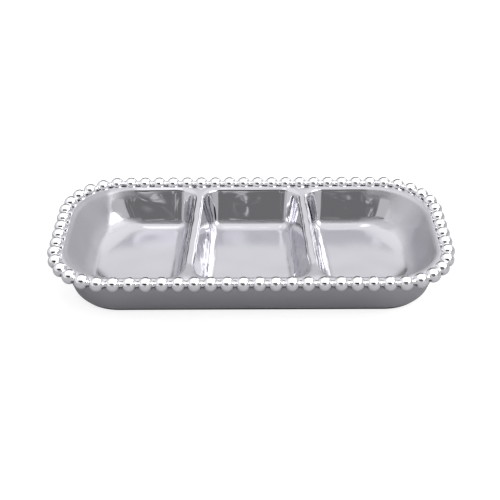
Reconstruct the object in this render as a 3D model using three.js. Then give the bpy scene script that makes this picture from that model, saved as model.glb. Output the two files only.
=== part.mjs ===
// A three-section server: a long low tray of polished cast metal, split by two ridges into three
// wells, with a string of round beads along its rim.
//
// Millimetres, +Z up. X runs along the tray, Y across it, and the front is at -Y. The origin is the
// middle of the flat base. A point of the wall is given by its inset, the distance in from the line
// that the bead centres follow, and by its height above the base.

import * as THREE from "three";

// Rim and beads
const RIM_LENGTH = 290;
const RIM_WIDTH = 137;
const RIM_CORNER_RADIUS = 43;
const RIM_HEIGHT = 34;
const BEAD_DIAMETER = 11;
const BEAD_SPACING = 0.47;
const BEAD_NECK_DIAMETER = 4.4;

// Lip, the smooth band just inside the beads
const LIP_RISE = 0.5;
const LIP_LAND = 2.4;
const LIP_DEPTH = 4;
const LIP_EDGE_RADIUS = 1.2;

// Shell
const WALL_OUTER_INSET = 3.6;
const OUTER_DRAFT = THREE.MathUtils.degToRad(14);
const INNER_DRAFT = THREE.MathUtils.degToRad(25);
const BASE_EDGE_RADIUS = 8;
const FLOOR_THICKNESS = 5.5;
const FLOOR_FILLET_RADIUS = 10;
const BOWL_FILLET_RADIUS = 15;
const CORNER_SOFTENING = 0.15;
const POCKET_CORNER_RADIUS = 41;
const POCKET_FLOOR_CORNER_RADIUS = 36;

// Dividers
const DIVIDER_OFFSET = 43.4;
const DIVIDER_TOE_OUT = 2.75;
const DIVIDER_CREST_WIDTH = 6.4;
const DIVIDER_CREST_DROP = 0.3;
const DIVIDER_DRAFT = THREE.MathUtils.degToRad(13);
const DIVIDER_FOOT_RADIUS = 9;
const DIVIDER_FOOT_EDGE = 0.6;
const WELL_CORNER_RADIUS = 14;
const WELL_FLOOR_CORNER_RADIUS = 5;

// Gap between neighbouring pieces
const JOINT_GAP = 0.3;

// Fineness of the curves
const CORNER_STEPS = 10;
const FILLET_STEPS = 5;
const COVE_STEPS = 3;
const CREST_STEPS = 3;
const FLARE_STEPS = 3;
const BEAD_RINGS = 5;
const BEAD_SIDES = 12;

const QUARTER_TURN = Math.PI / 2;
const BEAD_RADIUS = BEAD_DIAMETER / 2;
const COVE_RADIUS = BEAD_RADIUS + JOINT_GAP;
const LIP_INNER_INSET = COVE_RADIUS + LIP_LAND;
const LIP_TOP = RIM_HEIGHT + LIP_RISE;
const WELL_DEPTH = LIP_TOP - FLOOR_THICKNESS;
const LIP_SEAT_HEIGHT = RIM_HEIGHT - LIP_DEPTH;

const polished = new THREE.MeshStandardMaterial({ color: 0xd2d2d6, metalness: 1, roughness: 0.08 });
const satin = new THREE.MeshStandardMaterial({ color: 0xb4b4b9, metalness: 1, roughness: 0.3 });

// Evenly spaced values from start to end, both included.
function spread(start, end, steps) {
  return Array.from({ length: steps + 1 }, (_, i) => start + ((end - start) * i) / steps);
}

const innerWallInset = (height) => LIP_INNER_INSET + (LIP_TOP - height) * Math.tan(INNER_DRAFT);
const outerWallInset = (height) => WALL_OUTER_INSET + (RIM_HEIGHT - height) * Math.tan(OUTER_DRAFT);

// The round that joins a leaning wall to a level floor: its centre, and its points from wall to floor.
function wallToFloorRound(cornerInset, floorHeight, radius, draft) {
  const centre = {
    inset: cornerInset + radius * Math.tan((QUARTER_TURN - draft) / 2),
    height: floorHeight + radius,
  };
  const points = spread(draft, QUARTER_TURN, FILLET_STEPS).map((angle) => ({
    inset: centre.inset - radius * Math.cos(angle),
    height: centre.height - radius * Math.sin(angle),
  }));
  return { centre, points };
}

const floorRoundOf = (radius) =>
  wallToFloorRound(innerWallInset(FLOOR_THICKNESS), FLOOR_THICKNESS, radius, INNER_DRAFT);
const floorRound = floorRoundOf(FLOOR_FILLET_RADIUS);
const bowlRound = floorRoundOf(BOWL_FILLET_RADIUS);
const baseRound = wallToFloorRound(outerWallInset(0), 0, BASE_EDGE_RADIUS, OUTER_DRAFT);

// Inset of the tray's inside surface at a height, moved into the hollow by a gap.
function pocketInset(height, gap) {
  const { centre } = floorRound;
  const radius = FLOOR_FILLET_RADIUS - gap;
  if (height > centre.height - radius * Math.sin(INNER_DRAFT)) {
    return innerWallInset(height) + gap / Math.cos(INNER_DRAFT);
  }
  const drop = Math.min(centre.height - height, radius);
  return centre.inset - Math.sqrt(radius ** 2 - drop ** 2);
}

// One turn round the tray, anticlockwise from above, at an inset and a height. The middle of each
// corner may stand further in and up than the sides by a swell.
function roundedRing({ inset, height }, cornerRadius, swell) {
  const radius = Math.min(cornerRadius, RIM_WIDTH / 2 - inset);
  const centreX = RIM_LENGTH / 2 - inset - radius;
  const centreY = RIM_WIDTH / 2 - inset - radius;
  const corners = [
    { x: centreX, y: -centreY, start: -QUARTER_TURN },
    { x: centreX, y: centreY, start: 0 },
    { x: -centreX, y: centreY, start: QUARTER_TURN },
    { x: -centreX, y: -centreY, start: 2 * QUARTER_TURN },
  ];
  return corners.flatMap(({ x, y, start }) =>
    spread(0, 1, CORNER_STEPS).map((share) => {
      const angle = start + QUARTER_TURN * share;
      const middle = Math.sin(Math.PI * share) ** 2;
      const reach = radius - swell.inset * middle;
      return new THREE.Vector3(
        x + reach * Math.cos(angle),
        y + reach * Math.sin(angle),
        height + swell.height * middle,
      );
    }),
  );
}

// A ring of the tray's outside, whose corners grow softer towards the base.
function outerRing(point) {
  const radius = RIM_CORNER_RADIUS - point.inset + CORNER_SOFTENING * (RIM_HEIGHT - point.height);
  return roundedRing(point, radius, { inset: 0, height: 0 });
}

// A ring of the tray's hollow, from its straight walls' point and the point in the middle of its
// bowl-like corners.
function pocketRing(point, bowlPoint) {
  const share = (point.height - FLOOR_THICKNESS) / WELL_DEPTH;
  const radius = THREE.MathUtils.lerp(POCKET_FLOOR_CORNER_RADIUS, POCKET_CORNER_RADIUS, share);
  const swell = { inset: bowlPoint.inset - point.inset, height: bowlPoint.height - point.height };
  return roundedRing(point, radius, swell);
}

function geometryFrom(points, triangles) {
  const geometry = new THREE.BufferGeometry().setFromPoints(points);
  geometry.setIndex(triangles);
  geometry.computeVertexNormals();
  return geometry;
}

// Quads between rings of equal length. An open stack is capped at both ends, and a closed one runs
// from its last ring back to its first.
function loft(rings, closed) {
  const size = rings[0].length;
  const triangles = [];
  const bands = closed ? rings.length : rings.length - 1;
  for (let band = 0; band < bands; band += 1) {
    const from = band * size;
    const to = ((band + 1) % rings.length) * size;
    for (let i = 0; i < size; i += 1) {
      const next = (i + 1) % size;
      triangles.push(from + i, from + next, to + next, from + i, to + next, to + i);
    }
  }
  const last = (rings.length - 1) * size;
  for (let i = 1; !closed && i < size - 1; i += 1) {
    triangles.push(0, i + 1, i, last, last + i, last + i + 1);
  }
  return geometryFrom(rings.flat(), triangles);
}

function named(name, geometry, material) {
  const mesh = new THREE.Mesh(geometry, material);
  mesh.name = name;
  return mesh;
}

// Shell: the base, the outer wall up to the lip's seat, and the inner wall down to the well floor.
function trayShell() {
  const top = LIP_SEAT_HEIGHT - JOINT_GAP;
  const innerTop = { inset: innerWallInset(top), height: top };
  const rings = [
    ...baseRound.points.toReversed().map(outerRing),
    outerRing({ inset: outerWallInset(top), height: top }),
    pocketRing(innerTop, innerTop),
    ...floorRound.points.map((point, i) => pocketRing(point, bowlRound.points[i])),
  ];
  return named("tray_shell", loft(rings, false), satin);
}

// Lip: a ring that caps the wall, with a cove outside that the bead string nests in.
function rimLip() {
  const tangent = Math.tan(OUTER_DRAFT);
  const a = 1 + tangent ** 2;
  const b = 2 * WALL_OUTER_INSET * tangent;
  const c = WALL_OUTER_INSET ** 2 - COVE_RADIUS ** 2;
  const coveDrop = Math.min((-b + Math.sqrt(b ** 2 - 4 * a * c)) / (2 * a), LIP_DEPTH);
  const cove = spread(Math.asin(coveDrop / COVE_RADIUS), 0, COVE_STEPS).map((angle) => ({
    inset: COVE_RADIUS * Math.cos(angle),
    height: RIM_HEIGHT - COVE_RADIUS * Math.sin(angle),
  }));
  const edgeCentre = LIP_INNER_INSET - LIP_EDGE_RADIUS * Math.tan((QUARTER_TURN - INNER_DRAFT) / 2);
  const edge = spread(QUARTER_TURN, INNER_DRAFT, COVE_STEPS).map((angle) => ({
    inset: edgeCentre + LIP_EDGE_RADIUS * Math.cos(angle),
    height: LIP_TOP - LIP_EDGE_RADIUS + LIP_EDGE_RADIUS * Math.sin(angle),
  }));
  const outside = [
    { inset: outerWallInset(LIP_SEAT_HEIGHT), height: LIP_SEAT_HEIGHT },
    ...cove,
    { inset: COVE_RADIUS + LIP_RISE, height: LIP_TOP },
  ];
  const inside = [...edge, { inset: innerWallInset(LIP_SEAT_HEIGHT), height: LIP_SEAT_HEIGHT }];
  const rings = [...outside.map(outerRing), ...inside.map((point) => pocketRing(point, point))];
  return named("rim_lip", loft(rings, true), polished);
}

// Half of a divider's cross-section: half widths and heights from its underside up to its crest.
function dividerSection() {
  const crestRadius = DIVIDER_CREST_WIDTH / 2;
  const crestHeight = LIP_TOP - DIVIDER_CREST_DROP;
  const underside = FLOOR_THICKNESS + JOINT_GAP;
  const shoulder = crestHeight - crestRadius;
  const floorHalfWidth = crestRadius + (shoulder - FLOOR_THICKNESS) * Math.tan(DIVIDER_DRAFT);
  const round = wallToFloorRound(0, FLOOR_THICKNESS, DIVIDER_FOOT_RADIUS, DIVIDER_DRAFT);
  const foot = round.points
    .toReversed()
    .map(({ inset, height }) => ({ half: floorHalfWidth + inset, height }))
    .filter(({ height }) => height > underside + DIVIDER_FOOT_EDGE);
  const edgeDrop = DIVIDER_FOOT_RADIUS - JOINT_GAP - DIVIDER_FOOT_EDGE;
  const edgeHalf =
    floorHalfWidth + round.centre.inset - Math.sqrt(DIVIDER_FOOT_RADIUS ** 2 - edgeDrop ** 2);
  const crest = spread(0, QUARTER_TURN, CREST_STEPS)
    .slice(0, -1)
    .map((angle) => ({
      half: crestRadius * Math.cos(angle),
      height: shoulder + crestRadius * Math.sin(angle),
    }));
  return [
    { half: edgeHalf, height: underside },
    { half: edgeHalf, height: underside + DIVIDER_FOOT_EDGE },
    ...foot,
    ...crest,
  ];
}

// Plan radius of a well's corner at a divider, which grows from the floor up to the lip.
function wellCornerRadius(height) {
  const share = (height - FLOOR_THICKNESS) / WELL_DEPTH;
  return THREE.MathUtils.lerp(WELL_FLOOR_CORNER_RADIUS, WELL_CORNER_RADIUS, share);
}

// Stations along a divider's flared end: each gives its distance from the wall and the width that the
// well's round corner adds there, for a corner of radius 1. The first step keeps the flare's edge from
// feathering out.
function flareStations() {
  const firstAngle = QUARTER_TURN / 4;
  const arc = spread(firstAngle, QUARTER_TURN, FLARE_STEPS).map((angle) => ({
    fromWall: 1 - Math.cos(angle),
    flare: 1 - Math.sin(angle),
  }));
  return [{ fromWall: 0, flare: arc[0].flare }, ...arc];
}

// Divider: a ridge across the tray whose ends follow the inner wall. side is -1 on the left, 1 on
// the right, and the ridge stands further out at the front than at the back.
function divider(name, side) {
  const section = dividerSection();
  const reach = RIM_WIDTH / 2 - LIP_INNER_INSET;
  const front = flareStations().map((station) => ({ ...station, end: -1 }));
  const back = front.map((station) => ({ ...station, end: 1 })).toReversed();
  const ring = ({ fromWall, flare, end }) => {
    const point = (level, way) => {
      const corner = wellCornerRadius(level.height);
      const y = end * (RIM_WIDTH / 2 - pocketInset(level.height, JOINT_GAP) - corner * fromWall);
      const middle = side * (DIVIDER_OFFSET - (DIVIDER_TOE_OUT * y) / reach);
      return new THREE.Vector3(middle + way * (level.half + corner * flare), y, level.height);
    };
    return [
      ...section.map((level) => point(level, -1)),
      ...section.toReversed().map((level) => point(level, 1)),
    ];
  };
  const rings = [...front, ...back].map(ring);
  const size = rings[0].length;
  const geometry = loft(rings, false);
  const index = Array.from(geometry.index.array);
  const sides = index.slice(0, (rings.length - 1) * size * 6);
  const last = (rings.length - 1) * size;
  for (let level = 0; level < section.length - 1; level += 1) {
    const left = level;
    const right = size - 1 - level;
    sides.push(left, right, right - 1, left, right - 1, left + 1);
    sides.push(last + left, last + right - 1, last + right, last + left, last + left + 1, last + right - 1);
  }
  return named(name, geometryFrom(rings.flat(), sides), polished);
}

// The line of bead centres, as straight runs and corner arcs, anticlockwise from the left end of the
// front.
function rimRuns() {
  const x = RIM_LENGTH / 2 - RIM_CORNER_RADIUS;
  const y = RIM_WIDTH / 2 - RIM_CORNER_RADIUS;
  const straight = (name, start, heading, length) => ({ name, start, heading, length, turn: 0 });
  const corner = (name, start, heading) => ({
    name,
    start,
    heading,
    length: QUARTER_TURN * RIM_CORNER_RADIUS,
    turn: 1 / RIM_CORNER_RADIUS,
  });
  const r = RIM_CORNER_RADIUS;
  return [
    straight("front_beads", [-x, -y - r], 0, 2 * x),
    corner("front_right_corner_beads", [x, -y - r], 0),
    straight("right_end_beads", [x + r, -y], QUARTER_TURN, 2 * y),
    corner("back_right_corner_beads", [x + r, y], QUARTER_TURN),
    straight("back_beads", [x, y + r], 2 * QUARTER_TURN, 2 * x),
    corner("back_left_corner_beads", [-x, y + r], 2 * QUARTER_TURN),
    straight("left_end_beads", [-x - r, y], 3 * QUARTER_TURN, 2 * y),
    corner("front_left_corner_beads", [-x - r, -y], 3 * QUARTER_TURN),
  ];
}

// Place and heading at a distance along the line of bead centres.
function alongRim(runs, distance) {
  const total = runs.reduce((sum, run) => sum + run.length, 0);
  let left = ((distance % total) + total) % total;
  const run = runs.find(({ length }) => {
    const here = left <= length;
    left -= here ? 0 : length;
    return here;
  });
  const [x, y] = run.start;
  const heading = run.heading + run.turn * left;
  if (run.turn === 0) {
    return { x: x + left * Math.cos(heading), y: y + left * Math.sin(heading), heading };
  }
  const radius = 1 / run.turn;
  return {
    x: x + radius * (Math.sin(heading) - Math.sin(run.heading)),
    y: y - radius * (Math.cos(heading) - Math.cos(run.heading)),
    heading,
  };
}

// Bead string: a round bar along the rim that swells into beads, from one neck to another.
function beadString(name, runs, first, last, pitch, offset) {
  const neckAngle = Math.acos(BEAD_NECK_DIAMETER / BEAD_DIAMETER);
  const stops = [{ distance: (first - 0.5) * pitch + JOINT_GAP / 2, radius: BEAD_NECK_DIAMETER / 2 }];
  for (let bead = first; bead <= last; bead += 1) {
    for (const angle of spread(-neckAngle, neckAngle, BEAD_RINGS - 1)) {
      stops.push({
        distance: bead * pitch + BEAD_RADIUS * Math.sin(angle),
        radius: BEAD_RADIUS * Math.cos(angle),
      });
    }
  }
  stops.push({ distance: (last + 0.5) * pitch - JOINT_GAP / 2, radius: BEAD_NECK_DIAMETER / 2 });
  const rings = stops.map(({ distance, radius }) => {
    const { x, y, heading } = alongRim(runs, offset + distance);
    return Array.from({ length: BEAD_SIDES }, (_, i) => {
      const angle = (i * 4 * QUARTER_TURN) / BEAD_SIDES;
      const out = radius * Math.cos(angle);
      return new THREE.Vector3(
        x + out * Math.sin(heading),
        y - out * Math.cos(heading),
        RIM_HEIGHT - radius * Math.sin(angle),
      );
    });
  });
  return named(name, loft(rings, false), polished);
}

// Bead strings: the beads are counted from the middle of the front, spaced evenly round the whole
// rim, and each string holds the beads that lie on one run.
function beadStrings() {
  const runs = rimRuns();
  const total = runs.reduce((sum, run) => sum + run.length, 0);
  const count = 2 * Math.round(total / 2 / (BEAD_DIAMETER + BEAD_SPACING));
  const pitch = total / count;
  const frontMiddle = runs[0].length / 2;
  const strings = [];
  let runEnd = -frontMiddle;
  let bead = Math.ceil(-frontMiddle / pitch - 0.5) + 0.5;
  for (const run of runs) {
    const first = bead;
    runEnd += run.length;
    while (bead * pitch < runEnd) {
      bead += 1;
    }
    strings.push(beadString(run.name, runs, first, bead - 1, pitch, frontMiddle));
  }
  return strings;
}

const server = new THREE.Group();
server.name = "three_section_server";
server.add(trayShell(), rimLip(), divider("left_divider", -1), divider("right_divider", 1), ...beadStrings());

export default server;
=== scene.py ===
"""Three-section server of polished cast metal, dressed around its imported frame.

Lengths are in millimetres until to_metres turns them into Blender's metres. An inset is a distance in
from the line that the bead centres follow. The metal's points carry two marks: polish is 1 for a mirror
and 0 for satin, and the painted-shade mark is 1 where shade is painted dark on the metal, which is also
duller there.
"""
import math
import random

import bmesh
import bpy
from mathutils import Matrix, Vector, geometry, noise


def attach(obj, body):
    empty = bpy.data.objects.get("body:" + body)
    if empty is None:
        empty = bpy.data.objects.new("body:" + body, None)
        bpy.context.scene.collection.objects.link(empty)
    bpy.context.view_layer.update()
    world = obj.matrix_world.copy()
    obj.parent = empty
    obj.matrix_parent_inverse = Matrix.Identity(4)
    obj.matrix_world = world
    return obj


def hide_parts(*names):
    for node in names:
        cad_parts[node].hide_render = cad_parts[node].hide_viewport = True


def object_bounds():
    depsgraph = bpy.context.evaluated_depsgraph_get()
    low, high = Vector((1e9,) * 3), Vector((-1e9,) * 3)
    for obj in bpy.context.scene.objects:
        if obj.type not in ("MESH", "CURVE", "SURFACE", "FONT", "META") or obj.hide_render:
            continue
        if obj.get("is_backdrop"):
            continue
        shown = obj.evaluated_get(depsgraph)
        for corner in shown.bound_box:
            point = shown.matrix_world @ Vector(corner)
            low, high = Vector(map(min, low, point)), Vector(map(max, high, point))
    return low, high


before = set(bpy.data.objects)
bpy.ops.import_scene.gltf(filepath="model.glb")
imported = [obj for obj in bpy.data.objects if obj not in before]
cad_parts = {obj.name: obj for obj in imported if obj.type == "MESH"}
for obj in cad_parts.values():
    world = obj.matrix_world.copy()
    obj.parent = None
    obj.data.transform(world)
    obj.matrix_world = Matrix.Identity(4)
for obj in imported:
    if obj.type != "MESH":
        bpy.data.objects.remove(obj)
cad_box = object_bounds()

# Rim and beads
RIM_LENGTH = 290.0
RIM_WIDTH = 137.0
RIM_CORNER_RADIUS = 43.0
RIM_HEIGHT = 34.0
BEAD_RADIUS = 5.5
BEAD_NECK_RADIUS = 2.4
BEAD_COUNT = 68
BEAD_SEED = 68
BEAD_SIZE_SPREAD = 0.02
BEAD_PLACE_SPREAD = 0.16
BEAD_SINK_SPREAD = 0.08

# Casting
LIP_TOP = 34.5
LIP_INNER_INSET = 8.2
LIP_EDGE_RADIUS = 3.4
LIP_OUTER_RADIUS = 1.7
WALL_OUTER_INSET = 3.6
OUTER_DRAFT = math.radians(14.0)
INNER_DRAFT = math.radians(25.0)
BASE_EDGE_RADIUS = 8.0
FLOOR_THICKNESS = 5.5
FLOOR_FILLET_RADIUS = 10.0
END_FILLET_RADIUS = 17.0
BOWL_FILLET_RADIUS = 15.0
DIVIDER_OFFSET = 43.4
DIVIDER_TOE_OUT = 2.75
DIVIDER_HALF_RUN = 59.7
DIVIDER_SLANT = DIVIDER_TOE_OUT / DIVIDER_HALF_RUN
DIVIDER_CREST_FLAT = 1.0
DIVIDER_CREST_RADIUS = 3.2
DIVIDER_DRAFT = math.radians(14.0)
DIVIDER_FOOT_RADIUS = 10.0
WELL_CORNER_TOP = 14.0
WELL_CORNER_FLOOR = 5.0
END_CORNER_TOP = 41.0
END_CORNER_FLOOR = 36.0

# Growth of the outside's corner radius for each millimetre below the rim
CORNER_SOFTENING = 0.15

# Unevenness that polishing left: a slight waviness, and upright ripples on the ridges' flanks and in the
# corners behind them. Each has a height and a wavelength, and a ripple runs long in the other directions.
WAVINESS = 0.16
WAVINESS_LENGTH = 17.0
WAVINESS_SEED = 6
FLANK_RIPPLE = 0.42
FLANK_RIPPLE_LENGTH = 5.5
FLANK_RIPPLE_RUN = 30.0
CORNER_RIPPLE = 0.3
CORNER_RIPPLE_LENGTH = 2.6
CORNER_RIPPLE_RUN = 40.0
RIPPLE_UPRIGHT_RUN = 40.0

# Distance from a ridge's middle where the ripples begin, and where they are at their full height
RIPPLE_REACH = (18.5, 14.0)

# Uneven spots that polishing left on the back wall of each well: place along and up the wall, half
# width, half height and how far they stand out
BULGES = (
    (-83.0, 25.0, 11.0, 7.0, 0.45),
    (-3.0, 23.0, 9.0, 6.0, 0.35),
    (77.0, 24.0, 7.0, 5.0, 0.35),
    (97.0, 23.0, 4.0, 9.0, 0.4),
)
BULGE_SLANT = 0.2
BULGES_BEHIND = 40.0

# A spot low in the back left corner that leans back further than the wall round it
FLAT_PLACE = (-112.0, 45.5, 16.0)
FLAT_FACING = (0.5, -0.75, 0.45)
FLAT_RADIUS = 6.5
FLAT_LEAN = 0.2

# Polish of the outside below the lip, and how far down the lip's full polish fades to it
OUTSIDE_POLISH = 0.75
LIP_POLISH_DEPTH = 6.0

# Duller places in the wells, each with its strength. A pair of bounds gives where the place begins to
# show and where it shows in full: along X for a length, along Y for a depth, and up Z for a height.
# The foot shift moves an end's bounds out at the foot.
FLOOR_DULLNESS = 0.22
FLOOR_DULL_HEIGHT = (FLOOR_THICKNESS + 3.0, FLOOR_THICKNESS + 0.5)
LEFT_END_DULLNESS = 1.0
RIGHT_END_DULLNESS = 0.55
END_DULL_LENGTH = (111.0, 116.0)
END_DULL_FOOT_HEIGHT = (11.0, 7.0)
END_DULL_FOOT_SHIFT = (5.0, 6.0)
BACK_DULL_DEPTH = (30.0, 38.0)
FOOT_DULLNESS = 0.5
FOOT_DULL_BOTTOM = (8.2, 8.9)
FOOT_DULL_TOP = (11.2, 10.3)
FOOT_DULL_RISE = 2.4
FOOT_DULL_RISE_LENGTH = (86.0, 97.0)
CORNER_DULL_LENGTH = (88.0, 98.0)
CORNER_FOOT_DULLNESS = 0.2
CORNER_BROW_DULLNESS = 0.6
CORNER_BROW_HEIGHT = (27.0, 30.0)
FRONT_BROW_DULLNESS = 0.65
FRONT_BROW_DEPTH = (-42.0, -48.0)
FRONT_BROW_HEIGHT = (18.0, 25.0)

# Painted shade in the crevices, by the same kind of bounds: on the outside behind the beads, by height;
# on a bead's underside and its neck, as shares of its radius
WALL_SHADE_BOTTOM = (26.0, 29.0)
WALL_SHADE_TOP = (33.5, 31.0)
BEAD_UNDERSIDE = (-0.62, -0.92)
BEAD_NECK_GIRTH = (0.72, 0.5)
BEAD_NECK_RISE = (0.1, -0.4)

# Fineness of the meshes
ROUND_STEPS = 8
STRAIGHT_STEPS = 10
FILLET_STEPS = 14
CORNER_STEPS = 20
SIDE_STEPS = 26
FLOOR_RINGS = 7
FLOOR_FILL = 0.97
SUPPORT_LOOP = 0.15
BEAD_SIDES = 30
BEAD_RINGS = 17

# How the lip is filled: Blender's number for triangles inside the given edges only, and a tolerance in
# millimetres
INSIDE_ONLY = 1
FILL_TOLERANCE = 0.00001

# Metal: colours, among them the beads' whiter colour, which is painted light, and the dark of the painted
# shade; roughness as a satin and a polished value, and the strength of the fine grain
POLISHED_COLOUR = (0.64, 0.635, 0.665, 1.0)
SATIN_COLOUR = (0.55, 0.547, 0.57, 1.0)
# The beads are the same cast metal, made whiter than the casting: painted light
BEAD_PAINTED_LIGHT_COLOUR = (0.92, 0.92, 0.935, 1.0)
# Near black of the painted shade, and the least roughness where that shade lies
PAINTED_SHADE_COLOUR = (0.05, 0.05, 0.053, 1.0)
CREVICE_ROUGHNESS = 0.3
CAST_ROUGHNESS = (0.75, 0.05)
CAST_GRAIN = 0.012
BEAD_ROUGHNESS = (0.035, 0.035)
BEAD_GRAIN = 0.01
GRAIN_DEPTH = 0.0002
GRAIN_SCALE = 220.0
GRAIN_DETAIL = 6.0

# Smears from polishing, which make the roughness vary from place to place
SMEAR_SCALE = 38.0
SMEAR_DETAIL = 3.0
SMEAR_LEAST = 0.75
SMEAR_RANGE = 0.5

# Studio floor: its size in metres, its glow for the camera, and the share of that glow in mirrors
FLOOR_SIZE = 12.0
FLOOR_COLOUR = (0.42, 0.42, 0.43, 1.0)
FLOOR_GLOW = 0.77
FLOOR_MIRRORED = 0.04

# The shade under the tray's rounded base edge: the inset where it is full, how wide it fades outside that
# and how dark the floor is there
CONTACT_INSET = 14.9
CONTACT_FADE = 1.0
CONTACT_COLOUR = (0.03, 0.03, 0.03, 1.0)

# Brightness of the surroundings by height above the horizon, in degrees, and their slight blueness
SKY_STOPS = (
    (0.0, 0.62),
    (15.0, 0.66),
    (26.0, 0.72),
    (33.0, 1.02),
    (44.0, 1.16),
    (70.0, 1.14),
    (90.0, 1.08),
)
SKY_TINT = 1.02

# Patches in it: darker and lighter level, middle bearing, half width and edge, then lowest, highest and
# edge in height. Bearings are in degrees from the camera's side, positive to the right, so 180 is
# behind the tray. The lighter level shows in clouds of this many cells per unit of direction.
PATCHES = (
    (0.22, 0.75, -2.0, 18.0, 5.0, 6.0, 21.0, 7.0),
    (0.08, 0.08, 180.0, 24.0, 8.0, -8.0, 26.0, 4.0),
    (0.45, 0.45, 90.0, 26.0, 6.0, -8.0, 30.0, 5.0),
    (1.8, 1.8, 146.0, 9.0, 4.0, 12.0, 29.0, 4.0),
    (0.85, 0.85, -85.0, 30.0, 8.0, -8.0, 30.0, 5.0),
    (1.8, 1.8, -90.0, 75.0, 10.0, 76.0, 86.0, 3.0),
)
CLOUD_SCALE = 14.0
CLOUD_DETAIL = 2.0
CLOUD_EDGE = (0.56, 0.68)

# A black bar level with the camera and parallel to the tray: its colour, the slope of the plane that it
# lies in, its extent and edge across that plane, its least height, and its ends in bearing, in degrees
BAR_COLOUR = (0.02, 0.02, 0.02, 1.0)
BAR_SLOPE = math.radians(33.7)
BAR_LOW = -5.0
BAR_HIGH = 17.0
BAR_EDGE = 2.0
BAR_FOOT = 27.5
BAR_LEFT = -50.0
BAR_RIGHT = 24.0
BAR_END = 6.0
WHITE = (1.0, 1.0, 1.0, 1.0)

# Lamp, in metres and watts
LAMP_PLACE = (0.773, -0.312, 0.863)
LAMP_TARGET = (0.0, 0.0, 0.03)
LAMP_WIDTH = 0.97
LAMP_HEIGHT = 0.55
LAMP_POWER = 4.8

# Camera, fitted to the photograph, with its distance in metres
CAMERA_ELEVATION = math.radians(33.72)
CAMERA_AZIMUTH = math.radians(-0.24)
CAMERA_DISTANCE = 0.7492
CAMERA_LENS = 70.88
CAMERA_SENSOR = 36.0
CAMERA_ROLL = math.radians(-0.09)
CAMERA_SHIFT = (-0.0020, -0.0398)

# Units: a millimetre in metres, millimetres in a metre, a quarter turn in radians, then in degrees the
# height of the zenith, half a turn and a radian
MILLIMETRE = 0.001
PER_METRE = 1000.0
QUARTER = math.pi / 2
ZENITH = 90.0
HALF_TURN = 180.0
RADIAN = math.degrees(1.0)

RNG = random.Random(BEAD_SEED)
noise.seed_set(WAVINESS_SEED)


def to_metres(points):
    """Millimetre points as metre vectors."""
    return [Vector(point) * MILLIMETRE for point in points]


def spread(start, end, steps):
    """Evenly spaced values from start to end, both included."""
    return [start + (end - start) * i / steps for i in range(steps + 1)]


def smooth_step(value, start=0.0, end=1.0):
    """Ease from 0 at start to 1 at end."""
    share = min(1.0, max(0.0, (value - start) / (end - start)))
    return share * share * (3.0 - 2.0 * share)


def over_edge(start, radius, turn, way):
    """Profile points over a rounded top edge, from the flat lip down; way is 1 inwards, -1 outwards."""
    return [
        (start + way * radius * math.sin(angle), LIP_TOP - radius * (1.0 - math.cos(angle)))
        for angle in spread(0.0, turn, ROUND_STEPS)
    ]


def along_foot(centre, radius, draft, base):
    """Profile points round the foot of a leaning wall, to the flat at the height base."""
    return [
        (centre - radius * math.cos(angle), base + radius * (1.0 - math.sin(angle)))
        for angle in spread(draft, QUARTER, FILLET_STEPS)
    ]


def straight(top, bottom):
    """Profile points evenly spaced between two points, both left out."""
    return [
        (top[0] + (bottom[0] - top[0]) * share, top[1] + (bottom[1] - top[1]) * share)
        for share in spread(0.0, 1.0, STRAIGHT_STEPS)[1:-1]
    ]


def wall_profile(edge, top_radius, draft, foot_radius):
    """Offsets and heights down a leaning wall: over its top edge, down its face, out along its foot."""
    turn = QUARTER - draft
    top = over_edge(edge - top_radius * math.tan(turn / 2), top_radius, turn, 1)
    floor_edge = edge + (LIP_TOP - FLOOR_THICKNESS) * math.tan(draft)
    centre = floor_edge + foot_radius * math.tan(turn / 2)
    foot = along_foot(centre, foot_radius, draft, FLOOR_THICKNESS)
    return top + straight(top[-1], foot[0]) + foot


def outer_profile():
    """Insets and heights down the outside, from the lip's outer edge to the flat base."""
    turn = QUARTER + OUTER_DRAFT
    top_edge = WALL_OUTER_INSET - (LIP_TOP - RIM_HEIGHT) * math.tan(OUTER_DRAFT)
    top = over_edge(top_edge + LIP_OUTER_RADIUS * math.tan(turn / 2), LIP_OUTER_RADIUS, turn, -1)
    base_edge = WALL_OUTER_INSET + RIM_HEIGHT * math.tan(OUTER_DRAFT)
    centre = base_edge + BASE_EDGE_RADIUS * math.tan((QUARTER - OUTER_DRAFT) / 2)
    foot = along_foot(centre, BASE_EDGE_RADIUS, OUTER_DRAFT, 0.0)
    return top + straight(top[-1], foot[0]) + foot


DIVIDER_EDGE = DIVIDER_CREST_FLAT + DIVIDER_CREST_RADIUS * math.tan((QUARTER - DIVIDER_DRAFT) / 2)
WALL = wall_profile(LIP_INNER_INSET, LIP_EDGE_RADIUS, INNER_DRAFT, FLOOR_FILLET_RADIUS)
END_WALL = wall_profile(LIP_INNER_INSET, LIP_EDGE_RADIUS, INNER_DRAFT, END_FILLET_RADIUS)
BOWL = wall_profile(LIP_INNER_INSET, LIP_EDGE_RADIUS, INNER_DRAFT, BOWL_FILLET_RADIUS)
FLANK = wall_profile(DIVIDER_EDGE, DIVIDER_CREST_RADIUS, DIVIDER_DRAFT, DIVIDER_FOOT_RADIUS)


def wall_side(normal, reach, profile):
    """A straight outer side of a well, from its inward normal, its rim's distance from the middle and
    its profile."""
    def line(level):
        inset, height = profile[level]
        return Vector(normal) * (inset - reach), Vector(normal), height
    return line, "wall"


def divider_side(side, inward):
    """A side of a well on a divider: side is -1 or 1 for which ridge, inward the way it faces in X."""
    normal = Vector((inward, side * inward * DIVIDER_SLANT)).normalized()

    def line(level):
        half, height = FLANK[level]
        return Vector((side * DIVIDER_OFFSET, 0.0)) + normal * half, normal, height
    return line, "divider"


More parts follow.
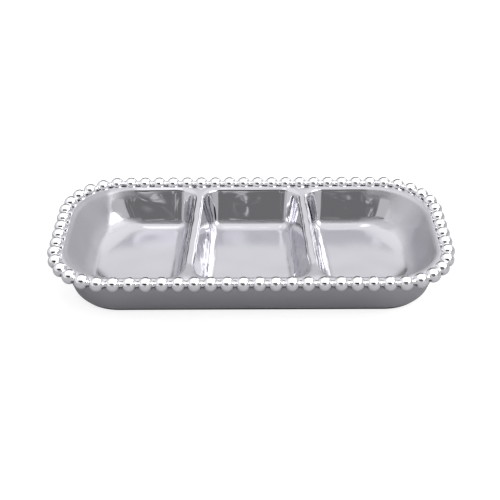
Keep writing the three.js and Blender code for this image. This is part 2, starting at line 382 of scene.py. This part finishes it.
FRONT = wall_side((0.0, 1.0), RIM_WIDTH / 2, WALL)
BACK = wall_side((0.0, -1.0), RIM_WIDTH / 2, WALL)
RIGHT_END = wall_side((-1.0, 0.0), RIM_LENGTH / 2, END_WALL)
LEFT_END = wall_side((1.0, 0.0), RIM_LENGTH / 2, END_WALL)

# Sides of each well, anticlockwise from the front
WELLS = {
    "left": (FRONT, divider_side(-1, -1), BACK, LEFT_END),
    "centre": (FRONT, divider_side(1, -1), BACK, divider_side(-1, 1)),
    "right": (FRONT, RIGHT_END, BACK, divider_side(1, 1)),
}


def corner_radius(kinds, level):
    """Plan radius of a well's corner between two kinds of side."""
    share = (LIP_TOP - WALL[level][1]) / (LIP_TOP - FLOOR_THICKNESS)
    if "divider" not in kinds:
        return END_CORNER_TOP + (END_CORNER_FLOOR - END_CORNER_TOP) * share
    return WELL_CORNER_TOP + (WELL_CORNER_FLOOR - WELL_CORNER_TOP) * share


def bowl_swell(kinds, level):
    """How much further in and up the bowl-like end corners stand than the straight walls."""
    if "divider" in kinds:
        return 0.0, 0.0
    return BOWL[level][0] - WALL[level][0], BOWL[level][1] - WALL[level][1]


def corner_arc(first, second, radius, swell):
    """Points of the round between two sides, each with its height."""
    (point_a, normal_a, height_a), (point_b, normal_b, height_b) = first, second
    system = Matrix((normal_a, normal_b))
    wanted = Vector((normal_a.dot(point_a) + radius, normal_b.dot(point_b) + radius))
    centre = system.inverted() @ wanted
    start = math.atan2(-normal_a.y, -normal_a.x)
    turn = (math.atan2(-normal_b.y, -normal_b.x) - start) % (2 * math.pi)
    arc = []
    for share in spread(0.0, 1.0, CORNER_STEPS):
        angle = start + turn * share
        middle = math.sin(math.pi * share) ** 2
        reach = radius - swell[0] * middle
        height = height_a + (height_b - height_a) * smooth_step(share) + swell[1] * middle
        arc.append(Vector((
            centre.x + reach * math.cos(angle),
            centre.y + reach * math.sin(angle),
            height,
        )))
    return arc


def join_arcs(arcs):
    """A closed ring of points: the arcs in turn, with evenly split straights between them."""
    ring = []
    for arc, following in zip(arcs, arcs[1:] + arcs[:1]):
        ring.extend(arc)
        shares = spread(0.0, 1.0, SIDE_STEPS)[1:-1]
        ring.extend(arc[-1].lerp(following[0], share) for share in shares)
    return ring


def well_ring(sides, level):
    """One turn round a well at a level of its profile, anticlockwise from above."""
    lines = [line(level) for line, _ in sides]
    kinds = [kind for _, kind in sides]
    arcs = []
    for i in range(4):
        following = (i + 1) % 4
        pair = (kinds[i], kinds[following])
        arcs.append(corner_arc(
            lines[i], lines[following], corner_radius(pair, level), bowl_swell(pair, level),
        ))
    return join_arcs(arcs)


def rim_ring(inset, height):
    """One turn round the whole tray at an inset and a height, anticlockwise from above."""
    radius = RIM_CORNER_RADIUS - inset + CORNER_SOFTENING * (RIM_HEIGHT - height)
    x = RIM_LENGTH / 2 - inset - radius
    y = RIM_WIDTH / 2 - inset - radius
    corners = (
        (x, -y, -QUARTER),
        (x, y, 0.0),
        (-x, y, QUARTER),
        (-x, -y, 2 * QUARTER),
    )
    arcs = []
    for middle_x, middle_y, start in corners:
        arcs.append([
            Vector((middle_x + radius * math.cos(angle), middle_y + radius * math.sin(angle), height))
            for angle in spread(start, start + QUARTER, CORNER_STEPS)
        ])
    return join_arcs(arcs)


def shrink(ring, amount):
    """A flat ring drawn in towards its middle by an amount."""
    middle = sum(ring, Vector()) / len(ring)
    return [point + (middle - point).normalized() * amount for point in ring]


def floor_rings(ring):
    """Rings that fill a well's floor, from its edge almost to its middle."""
    middle = sum(ring, Vector()) / len(ring)
    shares = spread(0.0, FLOOR_FILL, FLOOR_RINGS)[1:]
    return [[point.lerp(middle, share) for point in ring] for share in shares]


def end_dullness(point):
    """How satin the end walls are. The satin's edge runs further out at the foot."""
    low = smooth_step(point.z, *END_DULL_FOOT_HEIGHT)
    begin = END_DULL_LENGTH[0] + END_DULL_FOOT_SHIFT[0] * low
    full = END_DULL_LENGTH[1] + END_DULL_FOOT_SHIFT[1] * low
    strength = LEFT_END_DULLNESS if point.x < 0.0 else RIGHT_END_DULLNESS
    return strength * smooth_step(abs(point.x), begin, full)


def back_dullness(point):
    """How dull the back wall is: in a line along its foot, and under the lip in the end corners."""
    corner = smooth_step(abs(point.x), *CORNER_DULL_LENGTH)
    rise = FOOT_DULL_RISE * smooth_step(abs(point.x), *FOOT_DULL_RISE_LENGTH)
    foot = smooth_step(point.z, *FOOT_DULL_BOTTOM)
    foot *= smooth_step(point.z, FOOT_DULL_TOP[0] + rise, FOOT_DULL_TOP[1] + rise)
    foot *= FOOT_DULLNESS + CORNER_FOOT_DULLNESS * corner
    brow = CORNER_BROW_DULLNESS * corner * smooth_step(point.z, *CORNER_BROW_HEIGHT)
    return max(foot, brow) * smooth_step(point.y, *BACK_DULL_DEPTH)


def well_polish(point):
    """Share of mirror polish inside a well: less on its floor, its ends, its back and its front edge."""
    floor = FLOOR_DULLNESS * smooth_step(point.z, *FLOOR_DULL_HEIGHT)
    brow = smooth_step(point.y, *FRONT_BROW_DEPTH) * smooth_step(point.z, *FRONT_BROW_HEIGHT)
    return 1.0 - max(floor, end_dullness(point), back_dullness(point), FRONT_BROW_DULLNESS * brow)


def outside_polish(point):
    """Share of mirror polish outside: less below, full on the lip."""
    lip = smooth_step(point.z, RIM_HEIGHT - LIP_POLISH_DEPTH, RIM_HEIGHT)
    return OUTSIDE_POLISH + (1.0 - OUTSIDE_POLISH) * lip


def wavy(point):
    """The unevenness at a point of a well, as a move in millimetres."""
    move = noise.noise_vector(Vector(point) / WAVINESS_LENGTH) * WAVINESS
    # The slant's sign suits the right ridge, so at the left one's ends this is up to 5.5 mm out
    ridge = abs(abs(point.x) - DIVIDER_OFFSET + DIVIDER_SLANT * point.y * math.copysign(1.0, point.x))
    near = smooth_step(ridge, *RIPPLE_REACH)
    upright = point.z / RIPPLE_UPRIGHT_RUN
    place = Vector((point.x / FLANK_RIPPLE_RUN, point.y / FLANK_RIPPLE_LENGTH, upright))
    move.x += noise.noise(place) * FLANK_RIPPLE * near
    if point.y > BULGES_BEHIND:
        place = Vector((point.x / CORNER_RIPPLE_LENGTH, point.y / CORNER_RIPPLE_RUN, upright))
        move.y += noise.noise(place) * CORNER_RIPPLE * near
        for x, z, half_width, half_height, depth in BULGES:
            across = (point.x - x) / half_width
            up = (point.z - z + BULGE_SLANT * (point.x - x)) / half_height
            move.y -= depth * math.exp(-across * across - up * up)
    away = (point - Vector(FLAT_PLACE)).length / FLAT_RADIUS
    lean = (FLAT_PLACE[2] - point.z) * FLAT_LEAN * math.exp(-away * away)
    return move + Vector(FLAT_FACING) * lean


def add_rings(mesh, rings, tag, mark):
    """Skin a stack of rings, mark each point by a function, and return the rows of vertices."""
    rows = []
    for ring in rings:
        row = [mesh.verts.new(point) for point in to_metres(ring)]
        for vertex, point in zip(row, ring):
            vertex[tag] = mark(point)
        rows.append(row)
    skin(mesh, rows)
    return rows


def skin(mesh, rows):
    """Faces between each closed row of vertices and the next."""
    for before, after in zip(rows, rows[1:]):
        for i in range(len(before)):
            following = (i + 1) % len(before)
            mesh.faces.new((before[i], before[following], after[following], after[i]))


def close_row(mesh, row, tag):
    """Fill a closed row of vertices with a fan of faces round its middle."""
    middle = mesh.verts.new(sum((vertex.co for vertex in row), Vector()) / len(row))
    middle[tag] = row[0][tag]
    for i, vertex in enumerate(row):
        mesh.faces.new((vertex, row[(i + 1) % len(row)], middle))


def fill_lip(mesh, outer, wells):
    """The flat lip between the outermost row and the top row of each well."""
    rows = [outer] + wells
    vertices = [vertex for row in rows for vertex in row]
    owner = [number for number, row in enumerate(rows) for _ in row]
    edges = []
    start = 0
    for row in rows:
        edges.extend((start + i, start + (i + 1) % len(row)) for i in range(len(row)))
        start += len(row)
    flat = [vertex.co.xy * PER_METRE for vertex in vertices]
    result = geometry.delaunay_2d_cdt(flat, edges, [], INSIDE_ONLY, FILL_TOLERANCE)
    triangles, sources = result[2], result[3]
    for triangle in triangles:
        corners = [sources[i][0] for i in triangle]
        owners = {owner[i] for i in corners}
        if len(owners) > 1 or 0 in owners:
            mesh.faces.new([vertices[i] for i in corners])


def finish_mesh(mesh, name):
    """Turn a bmesh into a smooth piece that rides on the tray's body."""
    bmesh.ops.recalc_face_normals(mesh, faces=mesh.faces)
    data = bpy.data.meshes.new(name)
    mesh.to_mesh(data)
    mesh.free()
    for polygon in data.polygons:
        polygon.use_smooth = True
    piece = bpy.data.objects.new(name, data)
    bpy.context.scene.collection.objects.link(piece)
    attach(piece, "root")
    return piece


def make_casting():
    """Base, walls, lip, ridges and wells as one smooth body."""
    mesh = bmesh.new()
    polish = mesh.verts.layers.float.new("polish")
    painted_shade = mesh.verts.layers.float.new("painted_shade")
    well_tops = []
    for sides in WELLS.values():
        rings = [well_ring(sides, level) for level in range(len(WALL))]
        rings.extend(floor_rings(rings[-1]))
        rings = rings[:1] + [[point + wavy(point) for point in ring] for ring in rings[1:]]
        rows = add_rings(mesh, rings, polish, well_polish)
        close_row(mesh, rows[-1], polish)
        well_tops.append(rows[0])
    rings = [rim_ring(inset, height) for inset, height in outer_profile()]
    rings.append(shrink(rings[-1], SUPPORT_LOOP))
    rows = add_rings(mesh, rings, polish, outside_polish)
    close_row(mesh, rows[-1], polish)
    # Painted shade on the outside in a band behind the beads, by height
    for row, ring in zip(rows, rings):
        height = ring[0].z
        mark = smooth_step(height, *WALL_SHADE_BOTTOM) * smooth_step(height, *WALL_SHADE_TOP)
        for vertex in row:
            vertex[painted_shade] = mark
    fill_lip(mesh, rows[0], well_tops)
    return finish_mesh(mesh, "casting")


def rim_path():
    """The line of bead centres as runs: name, start, heading, length and turn per millimetre."""
    radius = RIM_CORNER_RADIUS
    x = RIM_LENGTH / 2 - radius
    y = RIM_WIDTH / 2 - radius
    arc = QUARTER * radius
    return [
        ("front", (-x, -y - radius), 0.0, 2 * x, 0.0),
        ("front_right_corner", (x, -y - radius), 0.0, arc, 1 / radius),
        ("right_end", (x + radius, -y), QUARTER, 2 * y, 0.0),
        ("back_right_corner", (x + radius, y), QUARTER, arc, 1 / radius),
        ("back", (x, y + radius), 2 * QUARTER, 2 * x, 0.0),
        ("back_left_corner", (-x, y + radius), 2 * QUARTER, arc, 1 / radius),
        ("left_end", (-x - radius, y), 3 * QUARTER, 2 * y, 0.0),
        ("front_left_corner", (-x - radius, -y), 3 * QUARTER, arc, 1 / radius),
    ]


RUNS = rim_path()
RIM_TOTAL = sum(length for _, _, _, length, _ in RUNS)
BEAD_PITCH = RIM_TOTAL / BEAD_COUNT


def along_rim(distance):
    """Place and heading on the line of bead centres, measured from the front run's left end."""
    left = distance % RIM_TOTAL
    for _, start, heading, length, turn in RUNS:
        if left <= length:
            break
        left -= length
    now = heading + turn * left
    if turn == 0.0:
        return Vector((start[0] + left * math.cos(now), start[1] + left * math.sin(now))), now
    return Vector((
        start[0] + (math.sin(now) - math.sin(heading)) / turn,
        start[1] - (math.cos(now) - math.cos(heading)) / turn,
    )), now


def bead_stops(first, last):
    """Distance, radius, inward and upward move at each ring of a string of beads."""
    stops = [((first - 0.5) * BEAD_PITCH, BEAD_NECK_RADIUS, 0.0, 0.0)]
    bead = first
    while bead <= last:
        size = BEAD_RADIUS * (1.0 - BEAD_SIZE_SPREAD * RNG.random())
        inward = abs(RNG.uniform(-1.0, 1.0) * BEAD_PLACE_SPREAD)
        rise = -RNG.random() * BEAD_SINK_SPREAD
        neck_angle = math.acos(BEAD_NECK_RADIUS / size)
        for angle in spread(-neck_angle, neck_angle, BEAD_RINGS - 1):
            place = bead * BEAD_PITCH + size * math.sin(angle)
            stops.append((place, size * math.cos(angle), inward, rise))
        bead += 1
    stops.append(((last + 0.5) * BEAD_PITCH, BEAD_NECK_RADIUS, 0.0, 0.0))
    return stops


def bead_painted_shade(girth, rise):
    """Painted shade on a bead, which is also duller there: all round its underside, and below the neck
    that joins it to the next one.
    """
    underside = smooth_step(girth * rise, *BEAD_UNDERSIDE)
    neck = smooth_step(girth, *BEAD_NECK_GIRTH) * smooth_step(rise, *BEAD_NECK_RISE)
    return max(underside, neck)


def make_beads(name, first, last, offset):
    """One string of beads along a run of the rim."""
    mesh = bmesh.new()
    painted_shade = mesh.verts.layers.float.new("painted_shade")
    rows = []
    for distance, radius, inward, rise in bead_stops(first, last):
        place, heading = along_rim(offset + distance)
        out = Vector((math.sin(heading), -math.cos(heading)))
        ring = []
        marks = []
        for i in range(BEAD_SIDES):
            angle = 2 * math.pi * i / BEAD_SIDES
            flat = place + out * (radius * math.cos(angle) - inward)
            ring.append((flat.x, flat.y, RIM_HEIGHT + rise + radius * math.sin(angle)))
            # Painted shade on the bead's underside and below its neck
            marks.append(bead_painted_shade(radius / BEAD_RADIUS, math.sin(angle)))
        rows.append([mesh.verts.new(point) for point in to_metres(ring)])
        for vertex, mark in zip(rows[-1], marks):
            vertex[painted_shade] = mark
    skin(mesh, rows)
    mesh.faces.new(rows[0])
    mesh.faces.new(rows[-1])
    piece = finish_mesh(mesh, name + "_bead_string")
    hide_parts(name + "_beads")
    return piece


def make_all_beads():
    """Every string, with the beads counted from the middle of the front."""
    strings = []
    _, _, _, front_length, _ = RUNS[0]
    front_middle = front_length / 2
    run_end = -front_middle
    bead = math.ceil(-front_middle / BEAD_PITCH - 0.5) + 0.5
    for name, _, _, length, _ in RUNS:
        first = bead
        run_end += length
        while bead * BEAD_PITCH < run_end:
            bead += 1
        strings.append(make_beads(name, first, bead - 1, front_middle))
    return strings


class Nodes:
    """Short ways to wire a node tree."""

    def __init__(self, tree):
        self.nodes = tree.nodes
        self.links = tree.links
        self.nodes.clear()

    def add(self, kind, **values):
        """A node with some of its plain settings."""
        node = self.nodes.new(kind)
        for name, value in values.items():
            setattr(node, name, value)
        return node

    def feed(self, socket, value):
        """A socket's value, from another socket or as a constant."""
        if isinstance(value, bpy.types.NodeSocket):
            self.links.new(value, socket)
        else:
            socket.default_value = value

    def math(self, operation, *values):
        """Arithmetic on one, two or three values."""
        node = self.add("ShaderNodeMath", operation=operation)
        for socket, value in zip(node.inputs, values):
            self.feed(socket, value)
        return node.outputs["Value"]

    def fade(self, value, start, end):
        """A smooth step from 0 at start to 1 at end."""
        node = self.add("ShaderNodeMapRange", interpolation_type="SMOOTHSTEP")
        self.feed(node.inputs["Value"], value)
        self.feed(node.inputs["From Min"], start)
        self.feed(node.inputs["From Max"], end)
        return node.outputs["Result"]

    def band(self, value, start, full, full_end, end):
        """Ease from 0 at start to 1 at full, and from 1 at full_end to 0 at end."""
        return self.math("MULTIPLY", self.fade(value, start, full), self.fade(value, end, full_end))

    def mix(self, share, first, second):
        """One colour at share 0, another at share 1."""
        node = self.add("ShaderNodeMixRGB")
        self.feed(node.inputs["Fac"], share)
        self.feed(node.inputs["Color1"], first)
        self.feed(node.inputs["Color2"], second)
        return node.outputs["Color"]

    def noise(self, place, scale, detail):
        """Cloudy noise at a scale in cells per unit of length."""
        node = self.add("ShaderNodeTexNoise")
        self.feed(node.inputs["Vector"], place)
        self.feed(node.inputs["Scale"], scale)
        self.feed(node.inputs["Detail"], detail)
        return node.outputs["Fac"]

    def mark(self, name):
        """A mark that the mesh's points carry."""
        return self.add("ShaderNodeAttribute", attribute_name=name).outputs["Fac"]

    def split(self, place):
        """The X, Y and Z of a vector."""
        node = self.add("ShaderNodeSeparateXYZ")
        self.feed(node.inputs["Vector"], place)
        return node.outputs


def metal_material(name, colours, roughnesses, grain):
    """Cast aluminium, from satin to polished by the polish mark, with shade painted dark in the crevices
    and the metal duller there.

    colours and roughnesses each give the satin value and then the polished one.
    """
    material = bpy.data.materials.new(name)
    material.use_nodes = True
    tree = Nodes(material.node_tree)
    place = tree.add("ShaderNodeTexCoord").outputs["Object"]
    polish = tree.mark("polish")
    painted_shade = tree.mark("painted_shade")
    # Painted shade: the shade mark takes the colour towards near black
    colour = tree.mix(painted_shade, tree.mix(polish, *colours), PAINTED_SHADE_COLOUR)
    smears = tree.noise(place, SMEAR_SCALE, SMEAR_DETAIL)
    smears = tree.math("MULTIPLY_ADD", smears, SMEAR_RANGE, SMEAR_LEAST)
    satin, polished = roughnesses
    roughness = tree.math("MULTIPLY_ADD", polish, polished - satin, satin)
    roughness = tree.math("MULTIPLY", roughness, smears)
    roughness = tree.math("MAXIMUM", roughness, tree.math("MULTIPLY", painted_shade, CREVICE_ROUGHNESS))
    bump = tree.add("ShaderNodeBump")
    tree.feed(bump.inputs["Strength"], grain)
    tree.feed(bump.inputs["Distance"], GRAIN_DEPTH)
    tree.feed(bump.inputs["Height"], tree.noise(place, GRAIN_SCALE, GRAIN_DETAIL))
    shader = tree.add("ShaderNodeBsdfPrincipled")
    tree.feed(shader.inputs["Metallic"], 1.0)
    tree.feed(shader.inputs["Base Color"], colour)
    tree.feed(shader.inputs["Roughness"], roughness)
    tree.feed(shader.inputs["Normal"], bump.outputs["Normal"])
    output = tree.add("ShaderNodeOutputMaterial")
    tree.feed(output.inputs["Surface"], shader.outputs["BSDF"])
    return material


def contact_shade(tree):
    """1 on the floor under the tray's base, in the plan of its rounded base edge, and 0 outside it."""
    place = tree.split(tree.add("ShaderNodeTexCoord").outputs["Object"])
    radius = RIM_CORNER_RADIUS - CONTACT_INSET + CORNER_SOFTENING * RIM_HEIGHT
    past = []
    for axis, size in (("X", RIM_LENGTH), ("Y", RIM_WIDTH)):
        half_straight = (size / 2 - CONTACT_INSET - radius) * MILLIMETRE
        beyond = tree.math("SUBTRACT", tree.math("ABSOLUTE", place[axis]), half_straight)
        past.append(tree.math("POWER", tree.math("MAXIMUM", beyond, 0.0), 2.0))
    reach = tree.math("SQRT", tree.math("ADD", *past))
    return tree.fade(reach, (radius + CONTACT_FADE) * MILLIMETRE, radius * MILLIMETRE)


def make_floor():
    """A pale floor that is white to the eye and keeps the shadow."""
    bpy.ops.mesh.primitive_plane_add(size=FLOOR_SIZE, location=(0.0, 0.0, 0.0))
    floor = bpy.context.active_object
    floor.name = "studio_floor"
    material = bpy.data.materials.new("studio_floor_white")
    material.use_nodes = True
    tree = Nodes(material.node_tree)
    under = contact_shade(tree)
    diffuse = tree.add("ShaderNodeBsdfDiffuse")
    tree.feed(diffuse.inputs["Color"], tree.mix(under, FLOOR_COLOUR, CONTACT_COLOUR))
    path = tree.add("ShaderNodeLightPath")
    seen = tree.math("MAXIMUM", path.outputs["Is Camera Ray"], path.outputs["Is Transmission Ray"])
    mirrored = tree.math("MULTIPLY", path.outputs["Is Glossy Ray"], FLOOR_MIRRORED)
    seen = tree.math("MAXIMUM", seen, mirrored)
    seen = tree.math("MULTIPLY", seen, tree.math("SUBTRACT", 1.0, under))
    glow = tree.add("ShaderNodeEmission")
    tree.feed(glow.inputs["Strength"], tree.math("MULTIPLY", seen, FLOOR_GLOW))
    both = tree.add("ShaderNodeAddShader")
    tree.feed(both.inputs[0], diffuse.outputs["BSDF"])
    tree.feed(both.inputs[1], glow.outputs["Emission"])
    output = tree.add("ShaderNodeOutputMaterial")
    tree.feed(output.inputs["Surface"], both.outputs["Shader"])
    floor.data.materials.append(material)
    floor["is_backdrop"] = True


def sky_grey(level):
    """A brightness as a faintly blue grey."""
    return (level, level, level * SKY_TINT, 1.0)


def sky_ramp(tree, height):
    """Colour of the surroundings by height."""
    ramp = tree.add("ShaderNodeValToRGB")
    elements = ramp.color_ramp.elements
    elements.remove(elements[1])
    for i, (degrees, level) in enumerate(SKY_STOPS):
        stop = elements[0] if i == 0 else elements.new(degrees / ZENITH)
        stop.position = degrees / ZENITH
        stop.color = sky_grey(level)
    tree.feed(ramp.inputs["Fac"], tree.math("DIVIDE", height, ZENITH))
    return ramp.outputs["Color"]


def add_patches(tree, colour, direction, turn, height):
    """The surroundings' colour with the patches laid over it."""
    clouds = tree.fade(tree.noise(direction, CLOUD_SCALE, CLOUD_DETAIL), *CLOUD_EDGE)
    for dark, light, middle, half, edge, low, high, soft in PATCHES:
        away = tree.math("WRAP", tree.math("SUBTRACT", turn, middle), HALF_TURN, -HALF_TURN)
        sideways = tree.fade(tree.math("ABSOLUTE", away), half + edge, half)
        upright = tree.band(height, low, low + soft, high, high + soft)
        level = tree.mix(clouds, sky_grey(dark), sky_grey(light))
        colour = tree.mix(tree.math("MULTIPLY", sideways, upright), colour, level)
    return colour


def add_bar(tree, colour, place, turn, height):
    """The surroundings' colour with the black bar laid over it."""
    across = tree.math(
        "ADD",
        tree.math("MULTIPLY", place["Y"], math.sin(BAR_SLOPE)),
        tree.math("MULTIPLY", place["Z"], math.cos(BAR_SLOPE)),
    )
    across = tree.math("MULTIPLY", tree.math("ARCSINE", across), RADIAN)
    mask = tree.math(
        "MULTIPLY",
        tree.band(across, BAR_LOW - BAR_EDGE, BAR_LOW, BAR_HIGH, BAR_HIGH + BAR_EDGE),
        tree.band(turn, BAR_LEFT - BAR_END, BAR_LEFT, BAR_RIGHT, BAR_RIGHT + BAR_END),
    )
    mask = tree.math("MULTIPLY", mask, tree.fade(height, BAR_FOOT - BAR_EDGE, BAR_FOOT))
    return tree.mix(mask, colour, BAR_COLOUR)


def make_world():
    """Studio surroundings: a pale tent with patches and a bar in it, and plain white for the camera."""
    world = bpy.data.worlds.new("studio")
    bpy.context.scene.world = world
    world.use_nodes = True
    tree = Nodes(world.node_tree)
    direction = tree.add("ShaderNodeTexCoord").outputs["Generated"]
    place = tree.split(direction)
    height = tree.math("MULTIPLY", tree.math("ARCSINE", place["Z"]), RADIAN)
    forward = tree.math("MULTIPLY", place["Y"], -1.0)
    turn = tree.math("MULTIPLY", tree.math("ARCTAN2", place["X"], forward), RADIAN)
    colour = sky_ramp(tree, height)
    colour = add_patches(tree, colour, direction, turn, height)
    colour = add_bar(tree, colour, place, turn, height)
    background = tree.add("ShaderNodeBackground")
    tree.feed(background.inputs["Color"], colour)
    white = tree.add("ShaderNodeBackground")
    tree.feed(white.inputs["Color"], WHITE)
    path = tree.add("ShaderNodeLightPath")
    seen = tree.math("MAXIMUM", path.outputs["Is Camera Ray"], path.outputs["Is Transmission Ray"])
    mix = tree.add("ShaderNodeMixShader")
    tree.feed(mix.inputs["Fac"], seen)
    tree.feed(mix.inputs[1], background.outputs["Background"])
    tree.feed(mix.inputs[2], white.outputs["Background"])
    output = tree.add("ShaderNodeOutputWorld")
    tree.feed(output.inputs["Surface"], mix.outputs["Shader"])


def make_lamp():
    """A softbox to the right and in front, aimed at the tray."""
    data = bpy.data.lights.new("right_softbox", "AREA")
    data.shape = "RECTANGLE"
    data.size = LAMP_WIDTH
    data.size_y = LAMP_HEIGHT
    data.energy = LAMP_POWER
    lamp = bpy.data.objects.new("right_softbox", data)
    lamp.location = LAMP_PLACE
    lamp.rotation_euler = (Vector(LAMP_TARGET) - Vector(LAMP_PLACE)).to_track_quat("-Z", "Y").to_euler()
    bpy.context.scene.collection.objects.link(lamp)


def make_camera():
    """The photograph's view: in front, above, and aimed at the middle of the rim."""
    data = bpy.data.cameras.new("camera")
    data.lens = CAMERA_LENS
    data.sensor_width = CAMERA_SENSOR
    data.shift_x, data.shift_y = CAMERA_SHIFT
    camera = bpy.data.objects.new("camera", data)
    target = Vector((0.0, 0.0, RIM_HEIGHT * MILLIMETRE))
    flat = CAMERA_DISTANCE * math.cos(CAMERA_ELEVATION)
    camera.location = target + Vector((
        flat * math.sin(CAMERA_AZIMUTH),
        -flat * math.cos(CAMERA_AZIMUTH),
        CAMERA_DISTANCE * math.sin(CAMERA_ELEVATION),
    ))
    aim = (target - camera.location).to_track_quat("-Z", "Y")
    camera.rotation_euler = (aim.to_matrix() @ Matrix.Rotation(CAMERA_ROLL, 3, "Z")).to_euler()
    bpy.context.scene.collection.objects.link(camera)
    bpy.context.scene.camera = camera


casting = make_casting()
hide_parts("tray_shell", "rim_lip", "left_divider", "right_divider")
cast_metal = metal_material("cast_metal", (SATIN_COLOUR, POLISHED_COLOUR), CAST_ROUGHNESS, CAST_GRAIN)
casting.data.materials.append(cast_metal)
# The beads' polished metal, given a whiter colour than the casting as painted light
bead_metal = metal_material("bead_polish_painted_light", (BEAD_PAINTED_LIGHT_COLOUR, BEAD_PAINTED_LIGHT_COLOUR), BEAD_ROUGHNESS, BEAD_GRAIN)
for string in make_all_beads():
    string.data.materials.append(bead_metal)

make_floor()
make_world()
make_lamp()
make_camera()
bpy.context.scene.view_settings.view_transform = "Standard"

boxes = {"cad": cad_box, "visual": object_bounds()}
{name: [list(corner) for corner in box] for name, box in boxes.items()}
